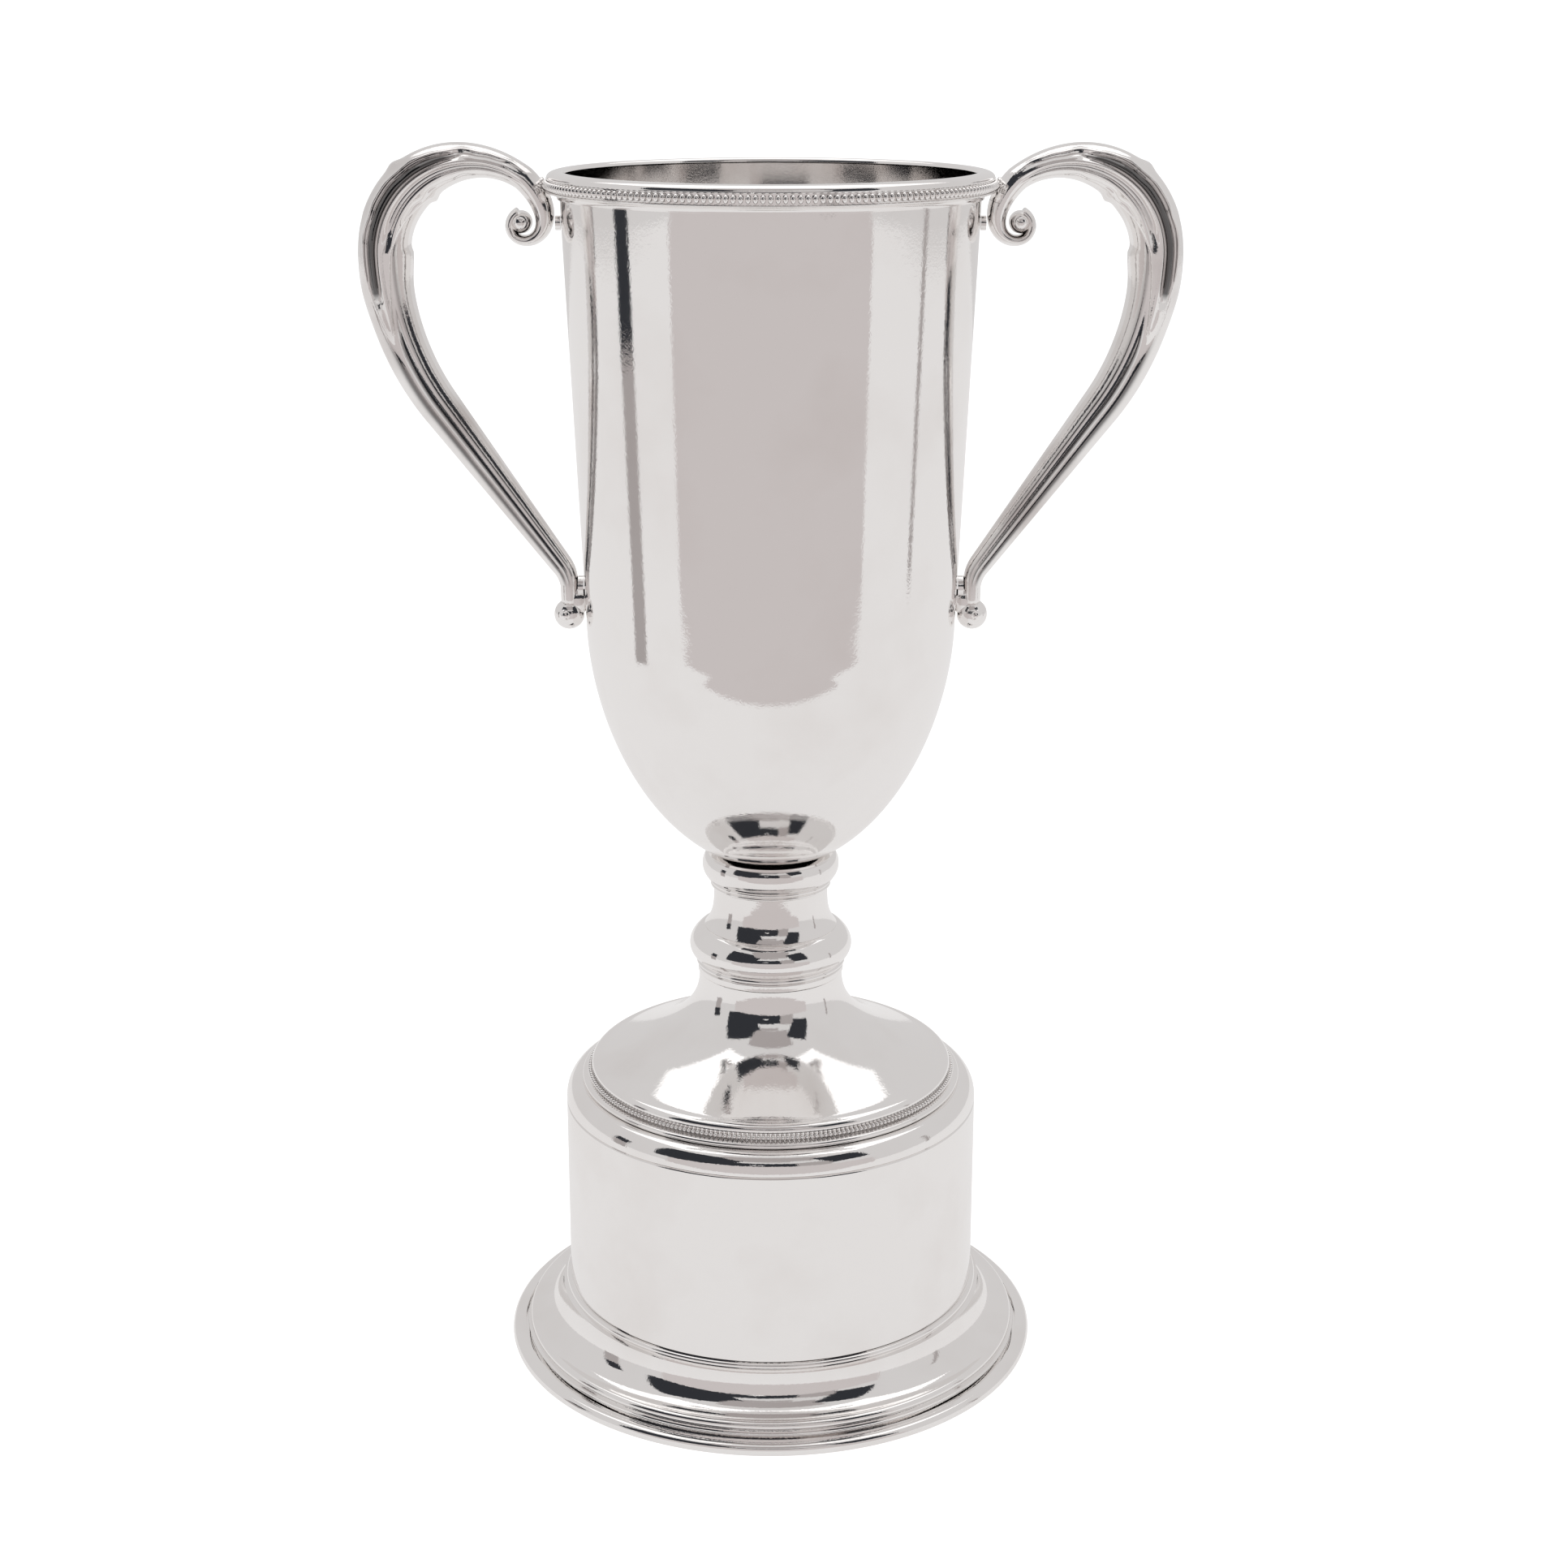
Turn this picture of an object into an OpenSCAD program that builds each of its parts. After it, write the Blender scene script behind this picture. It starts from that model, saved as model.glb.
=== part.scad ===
// Presentation cup trophy: two-handled silver-plated cup on a knopped stem,
// domed foot and tall turned plinth. Millimetres, +Z up, origin at the centre
// of the face the plinth rests on, handles along X.

/* [Cup] */
// Outer radius of the bowl just under the rim
cup_r = 75.4; // [62:0.2:91]
// Height of the bowl from its seat on the collar to the top of its wall
cup_h = 253.9; // [210:0.1:305]
// Wall of the spun bowl
wall = 1.2; // [0.9:0.1:2]

/* [Rim] */
// How far the beads stand out from the bowl
rim_reach = 6.2; // [5.4:0.1:7.4]
// Height of the bead channel in the rim
rim_bead_h = 3.6; // [3:0.1:4.4]

/* [Handles] */
// Centre-line radius of the upper scroll
scroll_r = 32; // [27:0.5:38]
// Width of the handle casting across the leaf
handle_w = 19; // [16:0.5:23]
// Radius of the small ball that ends the lower arm
ball_r = 5.8; // [4.8:0.1:7]

/* [Stem] */
// Height of the stem from the top of the foot to the seat of the bowl
stem_h = 48.3; // [40:0.1:58]
// Largest radius of the knop
knop_r = 31.3; // [27:0.1:38]
// Narrowest radius of the neck
neck_r = 22; // [18:0.1:24]

/* [Foot] */
// Radius of the lower lip of the domed foot
foot_r = 74.3; // [62:0.1:89]
// Height of the domed foot with its bead band
foot_h = 43.9; // [36:0.1:53]

/* [Plinth] */
// How far the straight plinth band stands out past the foot
plinth_margin = 6.4; // [5.4:0.1:7.6]
// Height of the plinth from the resting face to its flat top
plinth_h = 111.5; // [93:0.5:134]
// How far the rounded edge at the floor stands out past the plinth band
edge_reach = 23.9; // [20:0.1:28.6]

/* [Fixings] */
// Radius of the tie rod that clamps bowl, stem, foot and plinth together
rod_r = 4; // [3:0.5:5]
// Number of screws that hold the bottom plate
screw_n = 6; // [4:1:8]

/* [Hidden] */
gap = 0.3;
fine = 120;
mid = 48;
arc_n = 10;
bore_r = rod_r + gap;
plinth_r = foot_r + plinth_margin;
edge_r = plinth_r + edge_reach;

// Plinth stack
felt_t = 1.2;
plate_t = 2.6;
plate_top = felt_t + plate_t;
edge_low = 1;
edge_top = 5.9;
band_low = 27.4;
shoulder_h = 8.4;
lid_t = 4.8;
band_top = plinth_h - shoulder_h;
lid_low = plinth_h - lid_t;
band_t = 1.5;
core_r = plinth_r - band_t - gap;
plate_r = edge_r - 8.5;
screw_r = 2;
screw_head_r = 3.8;
screw_head_t = 1.2;
screw_deep = 14;

// Foot stack
foot_top = plinth_h + foot_h;
foot_ring_top = plinth_h + 5.2;
foot_channel_low = plinth_h + 2.6;
foot_channel_top = foot_channel_low + 2.4;
foot_lip_r = foot_r - 3.7;
lip_reach = 3.9;
lip_rise = 2.5;
lip_x = foot_lip_r - lip_reach;
lip_z = foot_ring_top + 0.5;
throat_r = 27.8;

// Stem stack
pedestal_h = 5.6;
knop_h = 13;
neck_h = 20.2;
stem_unit = stem_h / (pedestal_h + knop_h + neck_h + 9.5);
pedestal_top = foot_top + pedestal_h * stem_unit;
knop_top = pedestal_top + knop_h * stem_unit;
neck_top = knop_top + neck_h * stem_unit;
seat_z = foot_top + stem_h;
collar_r = 26.3;

// Bowl
wall_top = seat_z + cup_h;
skirt_h = 8.4;
taper_low_r = cup_r - 6.4;
round_h = cup_h * 0.362;
round_z = seat_z + round_h;
round_deep = round_h + 5;
round_power = 1.8;
bowl_floor = 1.8;

// Tie rod, nuts and washers
nut_h = rod_r * 1.6;
nut_r = rod_r * 1.8;
washer_t = 1.6;
washer_r = rod_r * 2.6;
rod_low = plate_top + 2;
nut_low_z = plate_top + 5;
washer_low_z = nut_low_z + nut_h;
washer_up_z = seat_z + bowl_floor;

// Rim
rim_low = wall_top - 7.6;
channel_low = wall_top - 4.4;
channel_top = channel_low + rim_bead_h;
channel_r = cup_r + 4.2;
rim_top = wall_top + 2;
bead_out = cup_r + rim_reach;

// Handle: a walk of [length, turn in degrees, steps] from the top of the volute
volute_x = cup_r + 12.8;
volute_z = wall_top - 16.6;
scroll_turn = 126;
scroll_x = volute_x - scroll_r * cos(scroll_turn);
scroll_z = wall_top - 1 - scroll_r * sin(scroll_turn);
arm_bend = 36;
ball_z = seat_z + cup_h * 0.3683;
ball_x = bowl_r(ball_z + ball_r, 0) + ball_r + 2 * gap;
arm_end_x = ball_x - 0.2;
arm_end_z = ball_z + ball_r + 4.7;
foot_bend_r = 14;
drop_x = foot_bend_r * (1 - cos(arm_bend));
drop_z = foot_bend_r * sin(arm_bend);
// The long bend runs from the side of the scroll to a straight arm, and its
// radius is the one that lets the straight arm meet the lower bend
side_x = scroll_x + scroll_r;
reach_x = side_x - arm_end_x - drop_x;
fall_z = scroll_z - arm_end_z - drop_z;
slope_c = sin(arm_bend);
slope_s = cos(arm_bend);
arm_r = (reach_x * slope_s - fall_z * slope_c)
    / ((1 - cos(arm_bend)) * slope_s - sin(arm_bend) * slope_c);
arm_len = (fall_z - arm_r * sin(arm_bend)) / slope_s;
volute_core = 6.4;
lug_back = 10.6;
path_end = [arm_end_x, ball_z + ball_r * 0.7];

function on_arc(c, r, a) = [c[0] + r * cos(a), c[1] + r * sin(a)];
function arc(c, r, a0, a1, n) =
    [for (i = [0:n]) on_arc(c, r, a0 + (a1 - a0) * i / n)];
function bowl_r(z, inset) = z >= round_z
    ? taper_low_r - inset
        + (cup_r - taper_low_r) * min(1, (z - round_z) / (wall_top - skirt_h - round_z))
    : (taper_low_r - inset)
        * sqrt(max(0, 1 - pow((round_z - z) / (round_deep - inset), round_power)));

// Centre line of the handle in the XZ plane, from the volute to the ball
scroll_c = [scroll_x, scroll_z];
scroll_end = on_arc(scroll_c, scroll_r, scroll_turn);
volute_c = [volute_x, volute_z];
volute_in = scroll_end - volute_c;
volute_r = norm(volute_in);
volute_a = atan2(volute_in[1], volute_in[0]);
arm_c = [side_x - arm_r, scroll_z];
arm_low = on_arc(arm_c, arm_r, -arm_bend);
bend_c = [arm_end_x + foot_bend_r, arm_end_z];
path = concat(
    [for (i = [0:9])
        on_arc(volute_c, volute_core + (volute_r - volute_core) * pow(0.45, 10 - i)
            - 0.8 * max(0, 2 - i),
            volute_a + 30 * (10 - i))],
    [for (i = [0:18]) on_arc(scroll_c, scroll_r, scroll_turn * (1 - i / 18))],
    [for (i = [1:8]) on_arc(arm_c, arm_r, -arm_bend * i / 8)],
    [for (i = [1:8])
        arm_low - arm_len * i / 8 * [slope_c, slope_s]],
    [for (i = [1:5]) on_arc(bend_c, foot_bend_r, 180 - arm_bend * (1 - i / 5))],
    [path_end]);
path_n = len(path);

// Half thickness in the plane of the handle and half width across it
function blend(a, b, t) = a + (b - a) * min(1, max(0, t));
function half_t(i) = i < 10 ? blend(1.6, 2.9, i / 9)
    : i < 29 ? blend(2.9, 9.6, (i - 10) / 11)
    : blend(9.6, 3, pow((i - 29) / 21, 0.9));
function half_w(i) = i < 10 ? 5.5
    : i < 18 ? blend(5.5, handle_w / 2, (i - 10) / 7)
    : i < 32 ? handle_w / 2
    : blend(handle_w / 2, 4, (i - 32) / 16);
function heading(i) = path[min(path_n - 1, i + 1)] - path[max(0, i - 1)];
function across(i) = [-heading(i)[1], heading(i)[0]] / norm(heading(i));
section_n = 20;
section = [for (i = [0:path_n - 1])
    [for (k = [0:section_n - 1])
        let (a = 360 * k / section_n, p = path[i] + across(i) * half_t(i) * cos(a))
        [p[0], half_w(i) * sin(a), p[1]]]];
skin_points = [for (ring = section) for (p = ring) p];
skin_faces = concat(
    [[for (k = [section_n - 1:-1:0]) k]],
    [for (i = [0:path_n - 2]) for (k = [0:section_n - 1])
        let (a = i * section_n + k, b = i * section_n + (k + 1) % section_n)
        each [[a, b + section_n, a + section_n], [a, b, b + section_n]]],
    [[for (k = [0:section_n - 1]) (path_n - 1) * section_n + k]]);

module turned(points) {
    rotate_extrude($fn = fine) polygon(points);
}

module tube(r_out, r_in, low, high) {
    translate([0, 0, low]) difference() {
        cylinder(r = r_out, h = high - low, $fn = fine);
        translate([0, 0, -1]) cylinder(r = r_in, h = high - low + 2, $fn = fine);
    }
}

module felt_pad() {
    color([0.13, 0.3, 0.2]) cylinder(r = plate_r - 1, h = felt_t, $fn = fine);
}

module base_plate() {
    color([0.55, 0.55, 0.57]) difference() {
        translate([0, 0, felt_t]) cylinder(r = plate_r, h = plate_t, $fn = fine);
        base_screw_layout() cylinder(r = screw_r + gap, h = plate_t * 4, center = true, $fn = mid);
        base_screw_layout() translate([0, 0, -plate_t - 1])
            cylinder(r = screw_head_r + gap, h = 1 + screw_head_t + gap, $fn = mid);
    }
}

module base_screw_layout() {
    for (i = [0:screw_n - 1])
        rotate(360 * (i + 0.5) / screw_n) translate([plinth_r * 0.72, 0, plate_top]) children();
}

module base_screws() {
    color([0.7, 0.7, 0.72]) base_screw_layout() translate([0, 0, -plate_t]) {
        cylinder(r = screw_r, h = plate_t + screw_deep, $fn = mid);
        cylinder(r = screw_head_r, h = screw_head_t, $fn = mid);
    }
}

module edge_ring() {
    round_r = (edge_top - edge_low) / 2;
    color([0.8, 0.78, 0.77]) turned(concat(
        [[plate_r + gap, edge_low], [edge_r - round_r, edge_low]],
        arc([edge_r - round_r, edge_low + round_r], round_r, -80, 78, arc_n),
        [[edge_r - 6.4, edge_top], [plinth_r + 2, edge_top], [plinth_r + 2, plate_top + gap],
            [plate_r + gap, plate_top + gap]]));
}

module base_moulding() {
    run = edge_r - 6.8 - (plinth_r + 2.6);
    low = edge_top + 3.4;
    rise = band_low - 3 - low - 5;
    color([0.8, 0.78, 0.77]) turned(concat(
        [[core_r + gap, edge_top], [edge_r - 6.2, edge_top], [edge_r - 6.2, low - 0.4],
            [edge_r - 6.8, low]],
        arc([edge_r - 8.4, low + 1.6], 1.7, -20, 100, 6),
        [for (i = [1:arc_n])
            [edge_r - 9 - (run - 3) * sin(90 * i / arc_n),
                low + 3.6 + rise * (1 - cos(90 * i / arc_n))]],
        [[plinth_r + 2.6, band_low - 3], [plinth_r + 1.7, band_low - 2.6]],
        arc([plinth_r + 0.6, band_low - 1.3], 1.3, -60, 90, 6),
        [[core_r + gap, band_low]]));
}

module plinth_core() {
    color([0.55, 0.42, 0.3]) difference() {
        tube(core_r, bore_r + 1, plate_top, lid_low);
        base_screw_layout() cylinder(r = screw_r + gap, h = screw_deep + 1, $fn = mid);
        translate([0, 0, plate_top - 1])
            cylinder(r = washer_r + 1, h = washer_low_z + washer_t - plate_top + 1, $fn = mid);
    }
}

module plinth_band() {
    color([0.82, 0.8, 0.79]) tube(plinth_r, plinth_r - band_t, band_low, band_top);
}

module plinth_lid() {
    lean = plinth_r - foot_r - 1.2;
    color([0.82, 0.8, 0.79]) turned(concat(
        [[bore_r, lid_low], [core_r, lid_low], [plinth_r - band_t, lid_low - 1],
            [plinth_r - band_t, band_top]],
        [for (i = [0:arc_n])
            [plinth_r - lean * (1 - cos(90 * i / arc_n)),
                band_top + shoulder_h * sin(90 * i / arc_n)]],
        [[bore_r, plinth_h]]));
}

module foot_base_ring() {
    color([0.8, 0.78, 0.77]) turned(concat(
        [[foot_r - 16, plinth_h], [foot_r - 0.8, plinth_h]],
        arc([foot_r - 1.2, plinth_h + 1.3], 1.2, -60, 75, 6),
        [[foot_r - 2.4, foot_channel_low - 0.1], [foot_r - 4, foot_channel_low],
            [foot_r - 4, foot_channel_top], [foot_r - 3, foot_channel_top + 0.2],
            [foot_r - 3.6, foot_ring_top], [foot_r - 16, foot_ring_top]]));
}

module foot_bead_band() {
    mid_z = (foot_channel_low + foot_channel_top) / 2;
    half = (foot_channel_top - foot_channel_low) / 2 - gap;
    color([0.86, 0.84, 0.83]) turned([
        [foot_r - 4 + gap, mid_z - half], [foot_r - 2.8, mid_z - half],
        [foot_r - 2, mid_z - half / 2], [foot_r - 2, mid_z + half / 2],
        [foot_r - 2.8, mid_z + half], [foot_r - 4 + gap, mid_z + half]]);
}

// Outer line of the trumpet that rises from the rolled lip to the throat
trumpet_n = 16;
function trumpet(i) =
    let (t = i / trumpet_n)
    [throat_r + (lip_x - throat_r) * pow(1 - t, 2.45),
        lip_z + lip_rise + (foot_top - lip_z - lip_rise) * t];

module foot_dome() {
    color([0.82, 0.8, 0.79]) turned(concat(
        [[foot_r - 20, foot_ring_top], [foot_lip_r - 0.6, foot_ring_top]],
        [for (a = [-10:15:80]) [lip_x + lip_reach * cos(a), lip_z + lip_rise * sin(a)]],
        [for (i = [0:trumpet_n - 1]) trumpet(i)],
        [[throat_r, foot_top], [bore_r, foot_top], [bore_r, foot_top - 3],
            [throat_r - 4, foot_top - 3]],
        [for (i = [14:-1:2]) trumpet(i) - [2.2, 2.4]]));
}

module stem_pedestal() {
    h = pedestal_top - foot_top;
    color([0.8, 0.78, 0.77]) turned(concat(
        [[bore_r, foot_top], [throat_r + 0.6, foot_top], [throat_r + 0.6, foot_top + h * 0.5],
            [throat_r + 0.2, foot_top + h * 0.54]],
        [for (i = [0:6])
            [throat_r + 0.3 + 0.9 * sin(30 * i), foot_top + h * (0.58 + 0.07 * i)]],
        [[bore_r, pedestal_top]]));
}

module knop() {
    h = knop_top - pedestal_top;
    color([0.82, 0.8, 0.79]) turned(concat(
        [[bore_r, pedestal_top]],
        [for (i = [0:14])
            let (t = i / 14, base = knop_r - 3.3 + (neck_r + 3.8 - knop_r + 3.3) * t)
            [base + 4.4 * pow(sin(180 * t), 0.6), pedestal_top + h * t]],
        [[bore_r, knop_top]]));
}

module stem_neck() {
    h = neck_top - knop_top;
    color([0.82, 0.8, 0.79]) turned(concat(
        [[bore_r, knop_top]],
        [for (i = [0:12])
            [neck_r + 3.6 * pow(1 - i / 12, 3.6), knop_top + (h - 4) * i / 12]],
        [[neck_r + 1.8, neck_top - 3], [neck_r + 1.8, neck_top - 1.6],
            [neck_r + 1.2, neck_top - 1.4], [neck_r + 2.2, neck_top], [bore_r, neck_top]]));
}

module bowl_collar() {
    h = seat_z - neck_top;
    color([0.8, 0.78, 0.77]) turned(concat(
        [[bore_r, neck_top], [collar_r - 1.6, neck_top]],
        [for (i = [0:8])
            [collar_r - 1.8 + 1.8 * pow(sin(180 * i / 8), 0.6) + 0.3 * i / 8,
                neck_top + 0.5 + (h - 1) * i / 8]],
        [[collar_r - 2.2, seat_z], [bore_r, seat_z]]));
}

module cup_bowl() {
    steps = 22;
    low_t = (round_z - seat_z) / steps;
    color([0.84, 0.82, 0.81]) turned(concat(
        [[bore_r, seat_z]],
        [for (i = [0:steps])
            [bowl_r(seat_z + low_t * i, 0), seat_z + low_t * i]],
        [[cup_r, wall_top - skirt_h], [cup_r, wall_top],
            [cup_r - wall, wall_top], [cup_r - wall, wall_top - skirt_h]],
        [for (i = [steps:-1:1])
            [bowl_r(seat_z + low_t * i, wall), seat_z + low_t * i]],
        [[bowl_r(seat_z + bowl_floor, wall), seat_z + bowl_floor],
            [bore_r, seat_z + bowl_floor]]));
}

module rim_moulding() {
    inner = cup_r + gap;
    color([0.82, 0.8, 0.79]) turned(concat(
        [[inner, rim_low], [inner + 0.6, rim_low]],
        [for (i = [0:6])
            [inner + 0.8 + (channel_r + 0.9 - inner - 0.8) * (1 - cos(15 * i)),
                rim_low + (channel_low - 0.6 - rim_low) * sin(15 * i)]],
        [[channel_r + 0.9, channel_low - 0.1], [channel_r, channel_low],
            [channel_r, channel_top], [channel_r + 0.5, channel_top + 0.1]],
        [for (i = [0:8])
            [cup_r + 0.6 + 4.2 * cos(11.25 * i),
                channel_top + 0.5 + (rim_top - channel_top - 0.5) * sin(11.25 * i)]],
        arc([cup_r - wall + 0.8, rim_top - 1.5], 1.5, 100, 200, 6),
        [[cup_r - wall - 0.6, wall_top + gap], [inner, wall_top + gap]]));
}

module rim_bead_band() {
    mid_z = (channel_low + channel_top) / 2;
    half = rim_bead_h / 2 - gap;
    color([0.86, 0.84, 0.83]) turned([
        [channel_r + gap, mid_z - half], [bead_out - 0.8, mid_z - half],
        [bead_out, mid_z - half / 2], [bead_out, mid_z + half / 2],
        [bead_out - 0.8, mid_z + half], [channel_r + gap, mid_z + half]]);
}

module handle() {
    color([0.8, 0.78, 0.77]) {
        polyhedron(points = skin_points, faces = skin_faces, convexity = 8);
        translate([ball_x, 0, ball_z]) sphere(r = ball_r, $fn = 24);
    }
}

module handle_right() {
    handle();
}

module handle_left() {
    mirror([1, 0, 0]) handle();
}

// Round standoff soldered between the bowl and the handle at one height
module standoff(z, reach, r) {
    low = bowl_r(z + r, 0);
    color([0.8, 0.78, 0.77]) difference() {
        translate([low - r, 0, z])
            rotate([0, 90, 0]) cylinder(r = r, h = reach - gap - low + r, $fn = mid);
        translate([0, 0, z]) cylinder(r = low + gap, h = 3 * r, center = true, $fn = fine);
    }
}

// Lug that carries the volute
module handle_lug() {
    standoff(volute_z, volute_x - lug_back, 2.6);
}

module handle_lug_right() {
    handle_lug();
}

module handle_lug_left() {
    mirror([1, 0, 0]) handle_lug();
}

// Ear that carries the foot of the handle
module handle_ear() {
    standoff(arm_end_z, arm_end_x - 3.3, 4);
}

module handle_ear_right() {
    handle_ear();
}

module handle_ear_left() {
    mirror([1, 0, 0]) handle_ear();
}

module tie_rod() {
    color([0.6, 0.6, 0.62]) translate([0, 0, rod_low])
        cylinder(r = rod_r, h = washer_up_z + washer_t + nut_h + 1.5 - rod_low, $fn = mid);
}

module nut(z) {
    translate([0, 0, z]) difference() {
        cylinder(r = nut_r, h = nut_h, $fn = 6);
        translate([0, 0, -1]) cylinder(r = bore_r, h = nut_h + 2, $fn = mid);
    }
}

module washer(z) {
    tube(washer_r, bore_r, z, z + washer_t);
}

module tie_rod_nuts() {
    color([0.65, 0.65, 0.67]) {
        nut(nut_low_z);
        nut(washer_up_z + washer_t);
    }
}

module tie_rod_washers() {
    color([0.7, 0.7, 0.72]) {
        washer(washer_low_z);
        washer(washer_up_z);
    }
}

felt_pad();
base_plate();
base_screws();
edge_ring();
base_moulding();
plinth_core();
plinth_band();
plinth_lid();
foot_base_ring();
foot_bead_band();
foot_dome();
stem_pedestal();
knop();
stem_neck();
bowl_collar();
cup_bowl();
rim_moulding();
rim_bead_band();
handle_left();
handle_right();
handle_lug_left();
handle_lug_right();
handle_ear_left();
handle_ear_right();
tie_rod();
tie_rod_nuts();
tie_rod_washers();
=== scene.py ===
"""Looks of a two-handled silver presentation cup on its domed foot and moulded plinth."""

import logging
import math
from dataclasses import dataclass
from enum import Enum

import bpy
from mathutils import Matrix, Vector


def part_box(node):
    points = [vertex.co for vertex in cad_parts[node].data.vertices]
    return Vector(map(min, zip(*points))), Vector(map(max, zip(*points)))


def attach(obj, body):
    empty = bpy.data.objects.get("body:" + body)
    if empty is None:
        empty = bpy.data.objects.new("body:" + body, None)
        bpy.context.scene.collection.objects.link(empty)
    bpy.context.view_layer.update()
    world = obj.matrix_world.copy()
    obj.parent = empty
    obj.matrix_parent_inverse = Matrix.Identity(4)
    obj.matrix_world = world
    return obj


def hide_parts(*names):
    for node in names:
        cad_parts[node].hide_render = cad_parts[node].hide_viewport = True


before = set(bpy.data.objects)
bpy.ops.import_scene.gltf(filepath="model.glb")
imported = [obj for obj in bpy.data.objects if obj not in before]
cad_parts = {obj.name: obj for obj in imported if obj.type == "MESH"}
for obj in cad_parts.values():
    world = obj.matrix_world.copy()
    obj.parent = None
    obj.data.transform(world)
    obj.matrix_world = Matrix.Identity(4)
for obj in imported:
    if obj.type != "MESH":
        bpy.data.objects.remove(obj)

LOG = logging.getLogger("cup")
MM = 0.001
SPIN_STEPS = 192
SMOOTH_ANGLE = math.radians(32)
Outline = list[tuple[float, float]]


class Axis(Enum):
    """Which side of the cup a mirrored piece belongs to."""

    RIGHT = 1
    LEFT = -1


# ---------------------------------------------------------------- shared shaping tools


def deselect() -> None:
    """Leaves edit mode and clears the selection, so an operator only sees the new piece."""
    if bpy.context.object and bpy.context.object.mode != "OBJECT":
        bpy.ops.object.mode_set(mode="OBJECT")
    bpy.ops.object.select_all(action="DESELECT")


def settle(piece: bpy.types.Object, name: str) -> bpy.types.Object:
    """Names a piece and puts its place into its mesh.

    Args:
        piece: The object that was just modelled.
        name: Its new name.

    Returns:
        The same object, at the origin.
    """
    deselect()
    piece.select_set(True)
    bpy.context.view_layer.objects.active = piece
    bpy.ops.object.transform_apply(location=True, rotation=True, scale=True)
    piece.name = name
    piece.data.name = name
    return piece


def smooth(piece: bpy.types.Object, angle: float = SMOOTH_ANGLE) -> None:
    """Shades a piece smooth, with its crisp turned edges kept.

    Args:
        piece: The object to shade.
        angle: Edges sharper than this stay crisp, in radians.
    """
    deselect()
    piece.select_set(True)
    bpy.context.view_layer.objects.active = piece
    bpy.ops.object.shade_smooth_by_angle(angle=angle)


def span(node: str) -> tuple[float, float, float]:
    """Reads a turned CAD node's size.

    Args:
        node: The node's name.

    Returns:
        Its radius, lowest and highest height, in millimetres.
    """
    low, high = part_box(node)
    return high[0] / MM, low[2] / MM, high[2] / MM


def arc(cx: float, cz: float, r: float, start: float, end: float, steps: int = 12) -> Outline:
    """Gives points along a circular arc of an outline.

    Args:
        cx: Radius of the arc's centre from the axis, in millimetres.
        cz: Height of the arc's centre, in millimetres.
        r: Radius of the arc, in millimetres.
        start: First angle in degrees, 0 pointing away from the axis.
        end: Last angle in degrees.
        steps: How many stretches the arc is cut into.

    Returns:
        The points from start to end.
    """
    turn = [math.radians(start + (end - start) * i / steps) for i in range(steps + 1)]
    return [(cx + r * math.cos(a), cz + r * math.sin(a)) for a in turn]


def lathe(name: str, outline: Outline, steps: int = SPIN_STEPS) -> bpy.types.Object:
    """Turns a closed outline round the vertical axis, as on a lathe.

    Args:
        name: Name of the new piece.
        outline: Radius and height of each corner in millimetres, in order round the section.
        steps: Facets round the axis.

    Returns:
        The turned piece, with its normals outwards.
    """
    deselect()
    start = Vector((outline[0][0] * MM, 0, outline[0][1] * MM))
    bpy.ops.mesh.primitive_plane_add(size=MM, location=start)
    piece = bpy.context.object
    bpy.ops.object.mode_set(mode="EDIT")
    bpy.ops.mesh.select_all(action="SELECT")
    bpy.ops.mesh.merge(type="CENTER")
    loop = outline[1:] + outline[:1]
    last = outline[0]
    for r, z in loop:
        step = ((r - last[0]) * MM, 0, (z - last[1]) * MM)
        bpy.ops.mesh.extrude_vertices_move(TRANSFORM_OT_translate={"value": step})
        last = (r, z)
    bpy.ops.mesh.select_all(action="SELECT")
    bpy.ops.mesh.remove_doubles(threshold=2e-6)
    bpy.ops.mesh.spin(steps=steps, angle=math.tau, center=(0, 0, 0), axis=(0, 0, 1))
    bpy.ops.mesh.select_all(action="SELECT")
    bpy.ops.mesh.remove_doubles(threshold=2e-6)
    bpy.ops.mesh.normals_make_consistent(inside=False)
    bpy.ops.object.mode_set(mode="OBJECT")
    settle(piece, name)
    smooth(piece)
    return piece


def dress(piece: bpy.types.Object, material: bpy.types.Material, slot: str, *nodes: str) -> None:
    """Gives a new piece its finish, its body and the CAD nodes that it stands for.

    Args:
        piece: The new piece.
        material: Its material.
        slot: A material slot name; not used.
        nodes: The CAD nodes it replaces.
    """
    piece.data.materials.clear()
    piece.data.materials.append(material)
    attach(piece, "root")
    if nodes:
        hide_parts(*nodes)
    LOG.info("%s: %d faces", piece.name, len(piece.data.polygons))


def redress(node: str, material: bpy.types.Material) -> None:
    """Gives a CAD node that stays a better material.

    Args:
        node: The node's name.
        material: Its new material.
    """
    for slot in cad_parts[node].material_slots:
        slot.material = material
    LOG.info("%s keeps its CAD shape", node)


# ---------------------------------------------------------------- finishes


def group_shell(name: str, inputs: dict[str, float], outputs: dict[str, str]) -> bpy.types.NodeTree:
    """Starts a shader node group with named sockets.

    Args:
        name: The group's name.
        inputs: Each value input and its default.
        outputs: Each output and its socket type.

    Returns:
        The new group.
    """
    group = bpy.data.node_groups.new(name, "ShaderNodeTree")
    for label, value in inputs.items():
        socket = group.interface.new_socket(
            name=label, in_out="INPUT", socket_type="NodeSocketFloat"
        )
        socket.default_value = value
    for label, kind in outputs.items():
        group.interface.new_socket(name=label, in_out="OUTPUT", socket_type=kind)
    return group


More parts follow.
